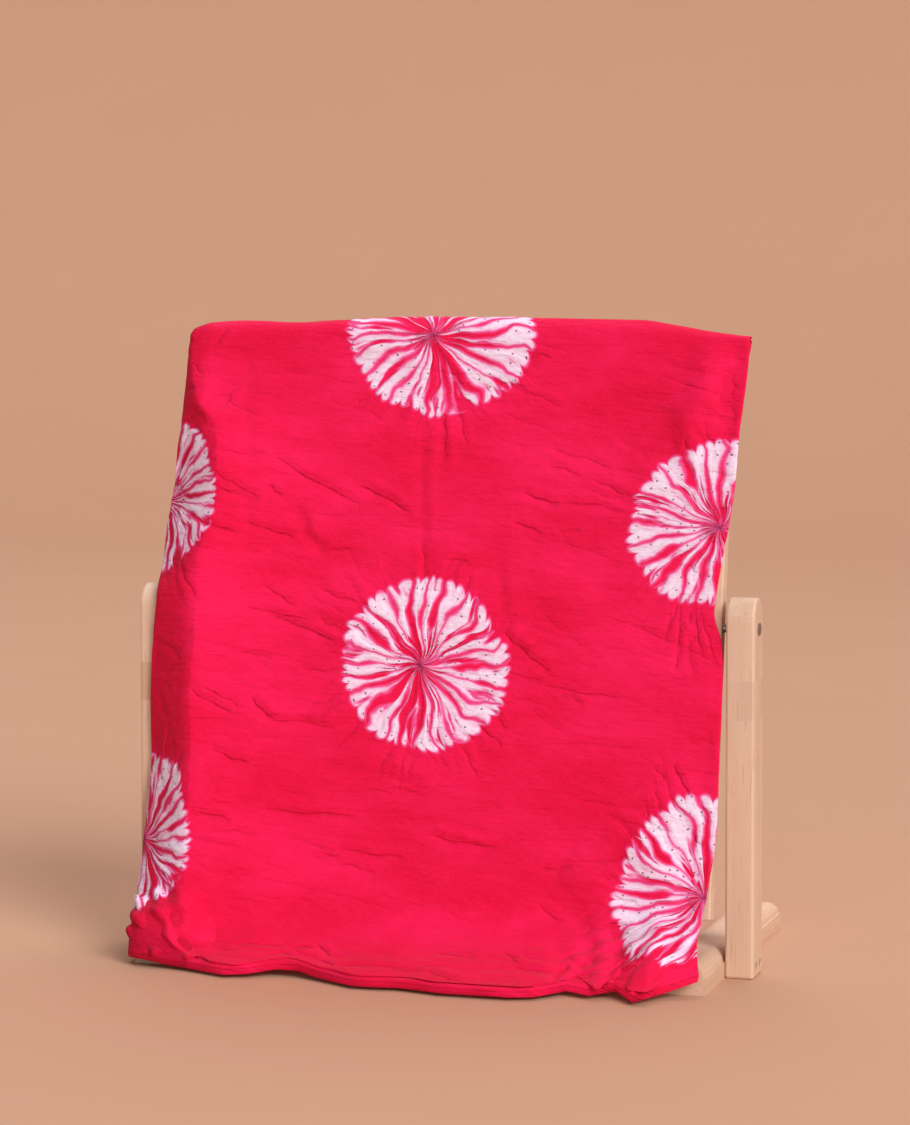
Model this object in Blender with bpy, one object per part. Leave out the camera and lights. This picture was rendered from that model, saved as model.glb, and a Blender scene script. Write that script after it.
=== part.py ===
"""Bandhani cloth folded to the width of a board and draped over it, on a small tilting wooden stand.

Stand sizes below are in millimetres, in the stand's own frame: X runs across from the middle
between the posts, Y runs back from the posts' front faces, and Z runs up from the floor.
"""
import math
from collections import namedtuple

import bmesh
import bpy
from mathutils import Vector

MM = 0.001

# Stand
POST_WIDE = 25.0
POST_DEEP = 38.0
POST_HIGH = 327.0
POST_TOP_STEPS = 14
BOARD_SIDE = 500.0
BOARD_THICK = 16.0
SIDE_GAP = 6.0
TILT = math.radians(10.2)
PIVOT_HIGH = 300.0
PIVOT_DEEP = POST_DEEP / 2
POST_INNER = BOARD_SIDE / 2 + SIDE_GAP
POST_OUTER = POST_INNER + POST_WIDE
EASED_EDGE = 1.2
POST_EASED_EDGE = 2.0

FOOT_WIDE = 45.0
FOOT_HIGH = 25.0
FOOT_FRONT = 78.0
FOOT_BACK = 250.0
FOOT_SIDE_HIGH = 13.5
FOOT_STEP = 1.8
FOOT_ROUND_IN = 12.0
FOOT_ROUND_STEPS = 5

# Bolts and screws
SEAT = 0.3
BOLT_RADIUS = 4.0
BOLT_HEAD_RADIUS = 5.4
BOLT_HEAD_HIGH = 1.4
BOLT_IN_BOARD = 30.0
BOLT_END_CHAMFER = 0.8
BORE_OVERRUN = 1.0
SCREW_RADIUS = 1.8
SCREW_HEAD_RADIUS = 3.6
SCREW_HEAD_DEEP = 2.4
SCREW_SUNK = 0.8
SCREW_IN_FOOT = 22.0
SCREW_POINT_LONG = 1.5
SCREW_HIGH = 9.5
SCREW_DEEPS = (13.0, 29.0)
ROUND_SIDES = 20

# Cloth
CLOTH_THICK = 1.0
LAYER_PITCH = 2.4
CREASE_SPREAD = 85.0
CREASE_ROUND = 4.0
CREASE_BLUNT = 0.03
WING_BOW = 1.5
BACK_DROP = 496.0
BACK_HEM_STEP = 6.0
BACK_WAVE = 4.0
BACK_WAVE_LONG = 168.0
BACK_WAVE_SHIFT = 35.0
FRONT_HEM_SHORT = 3.0
HEM_LIP = 8.0
LIP_FROM = 0.9
LIP_BULGE = 1.5
OUTER_LIP_LESS = 0.75

# How the front layer lies at heights up the board, measured from the board's lower edge.
# crease: where the front turns into the left side. fold: the outermost point of a side fold.
# out: how far a line stands in front of the board's face.
Height = namedtuple("Height", "up crease_x crease_out fold_x fold_out middle_out right_x")
HEIGHTS = (
    Height(0, -217.0, 33.0, -273.0, -2.0, 9.0, 245.5),
    Height(29, -217.5, 29.0, -272.5, -6.0, 6.0, 249.0),
    Height(56, -219.0, 27.0, -271.5, -7.0, 4.2, 252.0),
    Height(82, -219.0, 27.0, -270.5, -7.5, 3.6, 253.5),
    Height(117, -220.0, 27.0, -269.5, -6.5, 3.4, 253.5),
    Height(135, -221.0, 27.0, -269.9, -3.7, 3.4, 253.5),
    Height(170, -223.0, 28.0, -270.0, 2.6, 3.4, 253.4),
    Height(206, -222.0, 31.0, -269.0, 8.9, 3.4, 253.0),
    Height(234, -220.5, 33.0, -266.0, 15.3, 3.4, 251.5),
    Height(262, -220.5, 32.0, -263.0, 19.4, 3.4, 243.8),
    Height(295, -222.5, 32.0, -265.5, 4.0, 3.4, 247.0),
    Height(321, -215.5, 32.0, -267.5, -4.0, 3.4, 251.0),
    Height(349, -207.5, 31.0, -264.5, -4.0, 3.4, 255.0),
    Height(376, -210.0, 30.0, -261.5, -1.5, 3.4, 257.5),
    Height(398, -212.0, 28.0, -260.2, 0.0, 3.6, 258.5),
    Height(419, -216.5, 24.0, -257.0, 2.0, 4.5, 259.5),
    Height(440, -235.5, 19.0, -256.6, 1.0, 5.6, 261.5),
    Height(461, -243.0, 15.0, -255.0, 2.0, 7.0, 264.0),
    Height(485, -246.0, 10.0, -253.5, 2.5, 8.4, 266.0),
    Height(500, -246.0, 9.5, -252.0, 3.0, 9.0, 266.5),
    Height(524, -240.0, 10.0, -250.0, 5.0, 8.5, 262.0),
    Height(574, -238.0, 9.5, -249.0, 4.5, 8.0, 252.0),
    Height(644, -236.0, 9.0, -248.0, 4.5, 7.0, 244.0),
    Height(744, -234.0, 9.5, -246.0, 4.0, 6.7, 232.0),
    Height(874, -232.0, 10.0, -244.0, 4.0, 6.5, 223.0),
    Height(974, -231.0, 11.0, -243.0, 4.0, 7.0, 224.0),
    Height(1020, -230.0, 11.0, -242.0, 4.0, 7.0, 229.5),
)

# How high the cloth's top stands over the middle of the board's upper edge.
Ridge = namedtuple("Ridge", "x rise")
RIDGE = (
    Ridge(-254, 8.5),
    Ridge(-233, 15.0),
    Ridge(-205, 16.6),
    Ridge(-151, 14.6),
    Ridge(-108, 17.0),
    Ridge(-28, 20.2),
    Ridge(61, 19.6),
    Ridge(166, 19.2),
    Ridge(202, 14.3),
    Ridge(229, 9.6),
    Ridge(251, 6.4),
    Ridge(267, 4.0),
)

# How the free end below the board bends forward to the floor and over the two feet.
# The knee pulls the bend forward; the reaches run forward from the posts' front faces.
Skirt = namedtuple("Skirt", "x hem_x knee_reach knee_high hem_reach hem_high")
SKIRT = (
    Skirt(-272, -265, 54, 42, 62, 8),
    Skirt(-262, -259, 76, 48, 86, 7),
    Skirt(-250, -247, 85, 49, 94, 7),
    Skirt(-214, -212, 84, 46, 100, 3.5),
    Skirt(-190, -190, 62, 27, 107, 3),
    Skirt(-150, -150, 55, 22, 123, 3),
    Skirt(-128, -128, 54, 22, 110, 5),
    Skirt(-108, -108, 54, 24, 100, 7),
    Skirt(-65, -66, 53, 20, 118, 3),
    Skirt(-30, -30, 53, 20, 137, 3),
    Skirt(8, 8, 53, 20, 133, 3),
    Skirt(40, 40, 53, 20, 144, 3),
    Skirt(110, 110, 53, 20, 145, 3),
    Skirt(132, 132, 53, 20, 130, 3),
    Skirt(150, 151, 54, 24, 108, 5),
    Skirt(172, 174, 56, 24, 127, 3),
    Skirt(185, 187, 60, 30, 108, 6),
    Skirt(202, 205, 80, 44, 134, 3),
    Skirt(213, 218, 86, 47, 137, 3),
    Skirt(223, 226, 87, 47, 106, 6),
    Skirt(236, 242, 87, 47, 98, 7),
    Skirt(247, 253, 85, 48, 88, 15),
)

# Broad creases of the front layer: soft ridges, or troughs where the height is below zero,
# along a straight line from one point of the cloth to another.
Crease = namedtuple("Crease", "x0 up0 x1 up1 wide high")
CREASES = (
    Crease(236, 500, 214, 400, 15, 5.0),
    Crease(256, 500, 246, 405, 10, -3.0),
    Crease(196, 470, 226, 380, 13, 2.5),
    Crease(-205, 60, -120, 4, 18, 3.5),
    Crease(120, 40, 176, 14, 16, 4.0),
    Crease(176, 70, 232, 20, 17, 5.0),
    Crease(-130, 430, -30, 385, 22, 1.8),
    Crease(40, 300, 150, 262, 24, 1.8),
)

# Where the sheet's lines run: along the section, and down the cloth. The two selvedges
# meet behind the crease, so the inner layer comes almost all the way from the right fold.
WING_LINES = (-0.9, -0.8, -0.6, -0.4, -0.2, -0.1)
INNER_WING_LINES = (0.0, -0.3, -0.6, -0.8, -0.9, -1.0)
BESIDE_CREASE = 0.012
FRONT_LINES = 28
FRONT_CROWD = 1.1
INNER_LEFT_XS = (-197.2,)
INNER_RIGHT_XS = (222.0, 200.0, 180.0, 155.0, 125.0, 60.0, 10.0, -40.0, -90.0, -125.0, -160.0, -195.8)
FOLD_STEPS = 4
SLOPE_STEP = 0.004
SKIRT_LINES = (1.0, 0.95, 0.9, 0.75, 0.6, 0.45, 0.3, 0.15)
FACE_LINES = 20
ARC_LINES = 8
BACK_LINES = 10

BOARD_DOWN = Vector((0.0, -math.sin(TILT), -math.cos(TILT)))
BOARD_OUT = Vector((0.0, -math.cos(TILT), math.sin(TILT)))
BOARD_CENTRE = Vector((0.0, PIVOT_DEEP, PIVOT_HIGH))
BOARD_TOP = BOARD_CENTRE - BOARD_DOWN * (BOARD_SIDE / 2)
ARC_TURN = math.pi - TILT
ARC_LONG = ARC_TURN * BOARD_THICK / 2

WOOD = (0.80, 0.63, 0.49, 1.0)
STEEL = (0.55, 0.53, 0.50, 1.0)
CRIMSON = (0.72, 0.010, 0.055, 1.0)


def remove_scene_objects():
    for old in list(bpy.data.objects):
        bpy.data.objects.remove(old, do_unlink=True)


def make_material(name, colour, roughness, metallic=0.0):
    material = bpy.data.materials.new(name)
    material.use_nodes = True
    shader = material.node_tree.nodes["Principled BSDF"]
    shader.inputs["Base Color"].default_value = colour
    shader.inputs["Roughness"].default_value = roughness
    shader.inputs["Metallic"].default_value = metallic
    return material


def make_object(name, form, material, origin):
    """Turns a finished bmesh, in millimetres, into a named object under the origin empty."""
    bmesh.ops.scale(form, vec=(MM, MM, MM), verts=form.verts)
    bmesh.ops.recalc_face_normals(form, faces=form.faces)
    mesh = bpy.data.meshes.new(name)
    form.to_mesh(mesh)
    form.free()
    made = bpy.data.objects.new(name, mesh)
    if material is not None:
        mesh.materials.append(material)
    bpy.context.scene.collection.objects.link(made)
    made.parent = origin
    return made


def shade_round(made, angle_deg=40.0):
    made.data.shade_smooth()
    made.data.set_sharp_from_angle(angle=math.radians(angle_deg))


def ease_edges(made, width=EASED_EDGE):
    bevel = made.modifiers.new("eased edges", "BEVEL")
    bevel.width = width * MM
    bevel.segments = 2
    bevel.limit_method = "ANGLE"
    bevel.angle_limit = math.radians(50)


def cut(made, cutter):
    bore = made.modifiers.new("bore", "BOOLEAN")
    bore.operation = "DIFFERENCE"
    bore.object = cutter
    cutter.hide_render = True
    cutter.display_type = "WIRE"


def box_form(low, high):
    form = bmesh.new()
    bmesh.ops.create_cube(form, size=1.0)
    size = Vector(high) - Vector(low)
    middle = (Vector(high) + Vector(low)) / 2
    bmesh.ops.scale(form, vec=size, verts=form.verts)
    bmesh.ops.translate(form, vec=middle, verts=form.verts)
    return form


def turned_form(profile, start, outward):
    """Turns a profile of (along, radius) pairs round the X axis through start."""
    form = bmesh.new()
    rings = []
    for along, radius in profile:
        ring = []
        for step in range(ROUND_SIDES):
            angle = 2 * math.pi * step / ROUND_SIDES
            spot = (outward * along, radius * math.cos(angle), radius * math.sin(angle))
            ring.append(form.verts.new(Vector(start) + Vector(spot)))
        rings.append(ring)
    for near, far in zip(rings, rings[1:]):
        for step in range(ROUND_SIDES):
            after = (step + 1) % ROUND_SIDES
            form.faces.new((near[step], near[after], far[after], far[step]))
    form.faces.new(rings[0])
    form.faces.new(rings[-1])
    return form


def bore_cutter(name, start, outward, profile, origin):
    return make_object(name, turned_form(profile, start, outward), None, origin)


# Wooden stand

def post_form(side):
    """One upright: a flat bar whose top is a half round seen from the side."""
    form = bmesh.new()
    radius = POST_DEEP / 2
    outline = [(0.0, 0.0), (POST_DEEP, 0.0)]
    for step in range(POST_TOP_STEPS + 1):
        angle = math.pi * step / POST_TOP_STEPS
        y = radius + radius * math.cos(angle)
        z = POST_HIGH - radius + radius * math.sin(angle)
        outline.append((y, z))
    corners = [form.verts.new((side * POST_INNER, y, z)) for y, z in outline]
    face = form.faces.new(corners)
    grown = bmesh.ops.extrude_face_region(form, geom=[face])
    moved = [item for item in grown["geom"] if isinstance(item, bmesh.types.BMVert)]
    bmesh.ops.translate(form, vec=(side * POST_WIDE, 0, 0), verts=moved)
    return form


def foot_form(side):
    """A foot: a bar with a routed upper edge, which is a small step and a quarter round."""
    form = bmesh.new()
    levels = [(0.0, 0.0), (0.0, FOOT_SIDE_HIGH)]
    for step in range(FOOT_ROUND_STEPS + 1):
        angle = math.pi / 2 * step / FOOT_ROUND_STEPS
        inset = FOOT_STEP + FOOT_ROUND_IN * (1 - math.cos(angle))
        high = FOOT_SIDE_HIGH + (FOOT_HIGH - FOOT_SIDE_HIGH) * math.sin(angle)
        levels.append((inset, high))
    x_near, x_far = sorted((side * POST_INNER, side * (POST_INNER - FOOT_WIDE)))
    shift = side * SEAT
    rings = []
    for inset, high in levels:
        ring = []
        for x, y in ((x_near + inset, inset - FOOT_FRONT), (x_far - inset, inset - FOOT_FRONT),
                     (x_far - inset, FOOT_BACK - inset), (x_near + inset, FOOT_BACK - inset)):
            ring.append(form.verts.new((x - shift, y, high)))
        rings.append(ring)
    for low, high in zip(rings, rings[1:]):
        for step in range(4):
            after = (step + 1) % 4
            form.faces.new((low[step], low[after], high[after], high[step]))
    form.faces.new(rings[0])
    form.faces.new(rings[-1])
    return form


def bolt_profile(grow=0.0):
    """Shaft from the board's bore out through the post; the head caps it outside."""
    long = BOLT_IN_BOARD + SIDE_GAP + POST_WIDE + SEAT
    radius = BOLT_RADIUS + grow
    if grow:
        return [(-BORE_OVERRUN, radius), (long + BORE_OVERRUN, radius)]
    head = BOLT_HEAD_RADIUS
    return [(0.0, radius - BOLT_END_CHAMFER), (BOLT_END_CHAMFER, radius), (long, radius), (long, head),
            (long + 0.6 * BOLT_HEAD_HIGH, head), (long + BOLT_HEAD_HIGH, 0.6 * head)]


def screw_profile(grow=0.0):
    """Countersunk screw from inside the foot to its head, a little below the post's face."""
    shank = SCREW_IN_FOOT + POST_WIDE - SCREW_SUNK - SCREW_HEAD_DEEP
    radius = SCREW_RADIUS + grow
    head = SCREW_HEAD_RADIUS + grow
    if grow:
        sunk = shank + SCREW_HEAD_DEEP
        return [(-grow, radius), (shank - grow, radius), (sunk, head),
                (sunk + BORE_OVERRUN, head)]
    return [(0.0, 0.5 * radius), (SCREW_POINT_LONG, radius), (shank, radius),
            (shank + SCREW_HEAD_DEEP, head)]


def build_side(side, word, wood, steel, origin, board):
    post = make_object("post_" + word, post_form(side), wood, origin)
    ease_edges(post, POST_EASED_EDGE)
    foot = make_object("foot_" + word, foot_form(side), wood, origin)

    bolt_start = (side * (BOARD_SIDE / 2 - BOLT_IN_BOARD), PIVOT_DEEP, PIVOT_HIGH)
    bolt = make_object("pivot_bolt_" + word, turned_form(bolt_profile(), bolt_start, side), steel, origin)
    shade_round(bolt)
    bore = bore_cutter("pivot_bore_" + word, bolt_start, side, bolt_profile(SEAT), origin)
    cut(post, bore)
    cut(board, bore)

    for number, deep in enumerate(SCREW_DEEPS, 1):
        start = (side * (POST_INNER - SCREW_IN_FOOT), deep, SCREW_HIGH)
        name = "screw_{}_{}".format(word, number)
        screw = make_object(name, turned_form(screw_profile(), start, side), steel, origin)
        shade_round(screw)
        bore = bore_cutter(name + "_bore", start, side, screw_profile(SEAT), origin)
        cut(post, bore)
        cut(foot, bore)


def build_board(wood, origin):
    half = BOARD_SIDE / 2
    form = box_form((-half, -BOARD_THICK / 2, -half), (half, BOARD_THICK / 2, half))
    board = make_object("board", form, wood, origin)
    board.location = BOARD_CENTRE * MM
    board.rotation_euler = (-TILT, 0.0, 0.0)
    ease_edges(board)
    return board


# Cloth

def column_at(table, column, at, key):
    """Reads one column of a table at any place, on a smooth curve through its rows."""
    places = [getattr(row, key) for row in table]
    values = [getattr(row, column) for row in table]
    if at <= places[0]:
        return values[0]
    if at >= places[-1]:
        return values[-1]
    last = max(i for i, place in enumerate(places) if place <= at)
    span = places[last + 1] - places[last]
    part = (at - places[last]) / span

    def slope(i):
        if i == 0 or i == len(places) - 1:
            return 0.0
        before = (values[i] - values[i - 1]) / (places[i] - places[i - 1])
        after = (values[i + 1] - values[i]) / (places[i + 1] - places[i])
        if before * after <= 0:
            return 0.0
        return 2 * before * after / (before + after)

    rise_in = slope(last) * span
    rise_out = slope(last + 1) * span
    gain = values[last + 1] - values[last]
    return (values[last] + rise_in * part + (3 * gain - 2 * rise_in - rise_out) * part ** 2
            + (rise_in + rise_out - 2 * gain) * part ** 3)


def arc_angle(up):
    """Angle round the board's upper edge, from 0 on its front face to ARC_TURN behind it."""
    return min(max(up - BOARD_SIDE, 0.0) / ARC_LONG, 1.0) * ARC_TURN


def crease_height(x, up):
    """Sum of the broad creases at one place of the front layer."""
    total = 0.0
    for crease in CREASES:
        run = Vector((crease.x1 - crease.x0, crease.up1 - crease.up0))
        offset = Vector((x - crease.x0, up - crease.up0))
        along = offset.dot(run) / run.length_squared
        across = (offset - run * along).length
        ends = max(0.0, 1.0 - (2 * along - 1) ** 2) if 0 <= along <= 1 else 0.0
        total += crease.high * ends * math.exp(-(across / crease.wide) ** 2)
    return total


def front_line(up, q):
    """Section of the outer layer: q is -1 at the left fold, 0 at the crease, 1 at the right fold."""
    at = {name: column_at(HEIGHTS, name, up, "up") for name in Height._fields[1:]}
    fold = LAYER_PITCH / 2
    if q < 0:
        x = at["crease_x"] + (at["crease_x"] - at["fold_x"] - fold) * q
        rise = at["crease_out"] - at["fold_out"]
        out = at["crease_out"] + rise * q - WING_BOW * math.sin(math.pi * q)
    else:
        x = at["crease_x"] + (at["right_x"] - fold - at["crease_x"]) * q
        away = x - at["crease_x"]
        lift = at["crease_out"] - at["middle_out"]
        out = at["middle_out"] + lift * math.exp(-away / CREASE_SPREAD)
        out += crease_height(x, up)
    rounding = math.exp(-((x - at["crease_x"]) / CREASE_ROUND) ** 2)
    out -= rounding * CREASE_BLUNT * (at["crease_out"] - at["fold_out"])
    angle = arc_angle(up)
    if 0 < angle < ARC_TURN:
        deep = BOARD_THICK / 2 + out
        rise = column_at(RIDGE, "rise", x, "x")
        oval = math.hypot(rise * math.cos(angle), deep * math.sin(angle))
        out = deep * rise / oval - BOARD_THICK / 2
    drop = max(0.0, up - BOARD_SIDE - ARC_LONG) / BACK_DROP
    out += BACK_WAVE * drop * math.sin(2 * math.pi * (x - BACK_WAVE_SHIFT) / BACK_WAVE_LONG)
    return Vector((x, out))


def section_point(up, q, layer, turn=0.0):
    """A point of the section: layer 0 is outer and 1 inner; turn runs 0 to 1 round a side fold."""
    q_before = max(q - SLOPE_STEP, -1.0)
    q_after = min(q + SLOPE_STEP, 1.0)
    along = (front_line(up, q_after) - front_line(up, q_before)).normalized()
    outward = Vector((-along.y, along.x))
    point = front_line(up, q)
    if layer == 1:
        return point - outward * LAYER_PITCH
    if turn:
        side = along if q > 0 else -along
        centre = point - outward * (LAYER_PITCH / 2)
        spread = LAYER_PITCH / 2
        return centre + (outward * math.cos(math.pi * turn) + side * math.sin(math.pi * turn)) * spread
    return point


def spine(up):
    """Foot point and outward direction of the section at a height up the board, or behind it."""
    if up <= BOARD_SIDE:
        foot = BOARD_TOP + BOARD_DOWN * (BOARD_SIDE - up) + BOARD_OUT * (BOARD_THICK / 2)
        return foot, BOARD_OUT
    angle = arc_angle(up)
    out = BOARD_OUT * math.cos(angle) - BOARD_DOWN * math.sin(angle)
    foot = BOARD_TOP + out * (BOARD_THICK / 2)
    drop = max(0.0, up - BOARD_SIDE - ARC_LONG)
    return foot - Vector((0.0, 0.0, drop)), out


def draped_point(up, column):
    q, layer, turn = column
    x, out = section_point(up, q, layer, turn)
    foot, outward = spine(up)
    return foot + outward * out + Vector((x, 0.0, 0.0))


def skirt_point(part, column):
    """A point of the free front end: part runs from 0 at the board's lower edge to 1 at the hem."""
    layer, turn = column[1:]
    start = draped_point(0.0, column)
    read = {name: column_at(SKIRT, name, start.x, "x") for name in Skirt._fields[1:]}
    inward = turn if turn else float(layer)
    outer = 1.0 - inward
    knee = Vector((-read["knee_reach"] - outer * LAYER_PITCH, read["knee_high"] + outer * LAYER_PITCH))
    lip_top = Vector((-read["hem_reach"] + outer * FRONT_HEM_SHORT,
                      read["hem_high"] + HEM_LIP + outer * LAYER_PITCH))
    top = Vector((start.y, start.z))
    run = min(part / LIP_FROM, 1.0)
    bend = top * (1 - run) ** 2 + knee * (2 * run * (1 - run)) + lip_top * run ** 2
    turned = max(part - LIP_FROM, 0.0) / (1 - LIP_FROM)
    lip = HEM_LIP * (1 - outer * OUTER_LIP_LESS)
    bend += Vector((-LIP_BULGE * math.sin(math.pi * turned), -lip * turned))
    x = start.x + (read["hem_x"] - start.x) * part
    return Vector((x, bend.x, bend.y))


def front_q(up, x):
    """The section's q where the front layer is at x."""
    crease_x = column_at(HEIGHTS, "crease_x", up, "up")
    right_x = column_at(HEIGHTS, "right_x", up, "up")
    return (x - crease_x) / (right_x - LAYER_PITCH / 2 - crease_x)


def cloth_columns(up):
    """All lines of one section, from the left selvedge round the front to the right selvedge."""
    columns = [(front_q(up, x), 1, 0.0) for x in INNER_LEFT_XS]
    columns += [(q, 1, 0.0) for q in INNER_WING_LINES]
    turns = [step / FOLD_STEPS for step in range(1, FOLD_STEPS)]
    columns += [(-1.0, 0, turn) for turn in reversed(turns)]
    columns += [(q, 0, 0.0) for q in (-1.0,) + WING_LINES]
    columns += [(q, 0, 0.0) for q in (0.0, BESIDE_CREASE)]
    columns += [((step / FRONT_LINES) ** FRONT_CROWD, 0, 0.0) for step in range(1, FRONT_LINES + 1)]
    columns += [(1.0, 0, turn) for turn in turns]
    columns += [(1.0, 1, 0.0)]
    columns += [(front_q(up, x), 1, 0.0) for x in INNER_RIGHT_XS]
    return columns


def back_drop(part, column):
    """How far down behind the board a line reaches; the inner layer hangs a little lower."""
    layer, turn = column[1:]
    inward = turn if turn else float(layer)
    return BOARD_SIDE + ARC_LONG + part * (BACK_DROP + BACK_HEM_STEP * (inward - 1.0))


def cloth_rows():
    rows = [[skirt_point(part, column) for column in cloth_columns(0.0)] for part in SKIRT_LINES]
    heights = [BOARD_SIDE * step / FACE_LINES for step in range(FACE_LINES + 1)]
    heights += [BOARD_SIDE + ARC_LONG * step / ARC_LINES for step in range(1, ARC_LINES + 1)]
    rows += [[draped_point(up, column) for column in cloth_columns(up)] for up in heights]
    for step in range(1, BACK_LINES + 1):
        part = step / BACK_LINES
        columns = cloth_columns(BOARD_SIDE + ARC_LONG + part * BACK_DROP)
        rows.append([draped_point(back_drop(part, column), column) for column in columns])
    return rows


def build_cloth(crimson, origin):
    form = bmesh.new()
    grid = [[form.verts.new(point) for point in row] for row in cloth_rows()]
    for lower, upper in zip(grid, grid[1:]):
        for i in range(len(lower) - 1):
            form.faces.new((lower[i], lower[i + 1], upper[i + 1], upper[i]))
    cloth = make_object("cloth", form, crimson, origin)
    thick = cloth.modifiers.new("thickness", "SOLIDIFY")
    thick.thickness = CLOTH_THICK * MM
    thick.offset = 0.0
    cloth.data.shade_smooth()
    return cloth


def centre_on_floor(origin):
    """Moves the whole thing so that the middle of its footprint is at the world's origin."""
    bpy.context.view_layer.update()
    low = Vector((math.inf,) * 3)
    high = Vector((-math.inf,) * 3)
    depsgraph = bpy.context.evaluated_depsgraph_get()
    for made in origin.children:
        if made.hide_render:
            continue
        shape = made.evaluated_get(depsgraph).to_mesh()
        for vertex in shape.vertices:
            spot = made.matrix_world @ vertex.co
            low = Vector(map(min, low, spot))
            high = Vector(map(max, high, spot))
    origin.location = (-(low.x + high.x) / 2, -(low.y + high.y) / 2, -low.z)


def main():
    remove_scene_objects()
    wood = make_material("pale wood", WOOD, 0.55)
    steel = make_material("dull steel", STEEL, 0.35, 1.0)
    crimson = make_material("crimson cotton", CRIMSON, 0.75)
    origin = bpy.data.objects.new("floor_point", None)
    bpy.context.scene.collection.objects.link(origin)
    board = build_board(wood, origin)
    for side, word in ((-1, "left"), (1, "right")):
        build_side(side, word, wood, steel, origin, board)
    build_cloth(crimson, origin)
    centre_on_floor(origin)


main()
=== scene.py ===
"""Looks of the bandhani cloth on its tilting wooden stand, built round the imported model.

Sizes of the cloth are in millimetres in the stand's own frame: X runs across from the middle
between the posts, Y runs back from the posts' front faces, and Z runs up from the floor.
"""
import math
import random
from collections import namedtuple

import bpy
import numpy as np
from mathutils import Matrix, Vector


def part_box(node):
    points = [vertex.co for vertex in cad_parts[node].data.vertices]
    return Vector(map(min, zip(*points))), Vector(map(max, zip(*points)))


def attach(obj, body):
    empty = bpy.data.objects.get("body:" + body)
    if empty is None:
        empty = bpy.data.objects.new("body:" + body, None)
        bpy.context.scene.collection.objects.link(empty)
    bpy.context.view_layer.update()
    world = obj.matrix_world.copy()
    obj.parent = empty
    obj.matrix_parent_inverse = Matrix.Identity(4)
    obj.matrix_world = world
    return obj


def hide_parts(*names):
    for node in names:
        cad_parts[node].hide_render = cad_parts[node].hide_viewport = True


MM = 0.001

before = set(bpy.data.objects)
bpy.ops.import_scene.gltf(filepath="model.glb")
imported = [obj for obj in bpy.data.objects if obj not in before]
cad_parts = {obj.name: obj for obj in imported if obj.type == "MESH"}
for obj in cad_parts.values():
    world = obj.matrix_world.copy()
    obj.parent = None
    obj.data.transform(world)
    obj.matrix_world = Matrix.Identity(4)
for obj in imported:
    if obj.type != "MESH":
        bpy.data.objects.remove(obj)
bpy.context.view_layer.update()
left_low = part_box("post_left")[0]
right_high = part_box("post_right")[1]
STAND = Vector(((left_low.x + right_high.x) / 2, left_low.y, left_low.z))

# The board that the cloth lies on
POST_DEEP = 38.0
BOARD_SIDE = 500.0
BOARD_THICK = 16.0
TILT = math.radians(10.2)
PIVOT_HIGH = 300.0
ARC_TURN = math.pi - TILT
ARC_LONG = ARC_TURN * BOARD_THICK / 2

# The cloth's two layers and its ends
LAYER_PITCH = 2.4
CREASE_SPREAD = 85.0
CREASE_ROUND = 4.0
CREASE_BLUNT = 0.03
WING_BOW = 1.5
BACK_DROP = 496.0
BACK_HEM_STEP = 6.0
BACK_WAVE = 4.0
BACK_WAVE_LONG = 168.0
BACK_WAVE_SHIFT = 35.0
FRONT_HEM_SHORT = 3.0
HEM_LIP = 8.0
LIP_FROM = 0.9
LIP_BULGE = 1.5
OUTER_LIP_LESS = 0.75

# How the front layer lies at heights up the board, measured from the board's lower edge.
# crease: where the front turns into the left side. fold: the outermost point of a side fold.
# out: how far a line stands in front of the board's face.
Height = namedtuple("Height", "up crease_x crease_out fold_x fold_out middle_out right_x")
HEIGHTS = (
    Height(0, -217, 33, -273, -2, 9, 245.5),
    Height(29, -217.5, 29, -272.5, -6, 6, 249),
    Height(56, -219, 27, -271.5, -7, 4.2, 252),
    Height(82, -219, 27, -270.5, -7.5, 3.6, 253.5),
    Height(117, -220, 27, -269.5, -6.5, 3.4, 253.5),
    Height(135, -221, 27, -269.9, -3.7, 3.4, 253.5),
    Height(170, -223, 28, -270, 2.6, 3.4, 253.4),
    Height(206, -222, 31, -269, 8.9, 3.4, 253),
    Height(234, -220.5, 33, -266, 15.3, 3.4, 251.5),
    Height(262, -220.5, 32, -263, 19.4, 3.4, 243.8),
    Height(295, -222.5, 32, -265.5, 4, 3.4, 247),
    Height(321, -215.5, 32, -267.5, -4, 3.4, 251),
    Height(349, -207.5, 31, -264.5, -4, 3.4, 255),
    Height(376, -210, 30, -261.5, -1.5, 3.4, 257.5),
    Height(398, -212, 28, -260.2, 0, 3.6, 258.5),
    Height(419, -216.5, 24, -257, 2, 4.5, 259.5),
    Height(440, -235.5, 19, -256.6, 1, 5.6, 261.5),
    Height(461, -243, 15, -255, 2, 7, 264),
    Height(485, -246, 10, -253.5, 2.5, 8.4, 266),
    Height(500, -246, 9.5, -252, 3, 9, 266.5),
    Height(524, -240, 10, -250, 5, 8.5, 262),
    Height(574, -238, 9.5, -249, 4.5, 8, 252),
    Height(644, -236, 9, -248, 4.5, 7, 244),
    Height(744, -234, 9.5, -246, 4, 6.7, 232),
    Height(874, -232, 10, -244, 4, 6.5, 223),
    Height(974, -231, 11, -243, 4, 7, 224),
    Height(1020, -230, 11, -242, 4, 7, 229.5),
)

# How high the cloth's top stands over the middle of the board's upper edge.
Ridge = namedtuple("Ridge", "x rise")
RIDGE = (
    Ridge(-254, 8.5),
    Ridge(-233, 15.0),
    Ridge(-205, 16.6),
    Ridge(-151, 14.6),
    Ridge(-108, 17.0),
    Ridge(-28, 20.2),
    Ridge(61, 19.6),
    Ridge(166, 19.2),
    Ridge(202, 14.3),
    Ridge(229, 9.6),
    Ridge(251, 6.4),
    Ridge(267, 4.0),
)

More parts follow.
